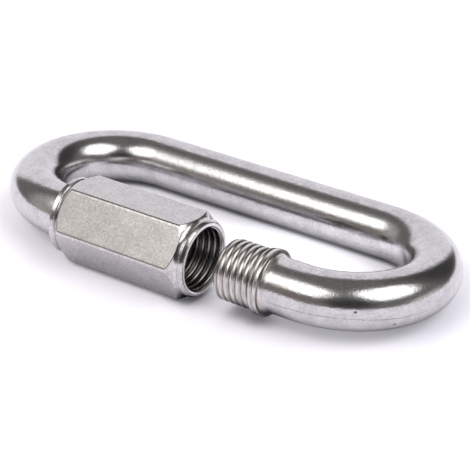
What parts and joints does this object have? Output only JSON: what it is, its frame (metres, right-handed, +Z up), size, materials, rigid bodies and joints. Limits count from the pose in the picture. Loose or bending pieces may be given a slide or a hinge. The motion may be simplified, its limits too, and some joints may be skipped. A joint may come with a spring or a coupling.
{
  "type": "chain quick link",
  "caption": "Oval link of bent polished round rod with threaded ends, closed by a hexagonal sleeve nut that screws across the gap to join chain or rope ends.",
  "frame": {"origin": "middle of the part's outline, on the surface it lies on", "axes": "+X along the nut's leg, the way the nut screws shut; +Y from the nut's leg to the far leg; +Z up"},
  "size_m": [0.0884, 0.0429, 0.0147],
  "materials": {
    "polished_rod": "polished stainless steel with a faint drawn grain",
    "satin_nut": "satin stainless steel flats with bright turned ends"
  },
  "bodies": {
    "link": {"link_body": "polished_rod"},
    "nut": {"sleeve_nut": "satin_nut"}
  },
  "joints": [
    {"name": "nut_travel", "type": "slide", "parent": "link", "child": "nut", "axis": [1, 0, 0], "range_m": [-0.0048, 0.012]}
  ]
}
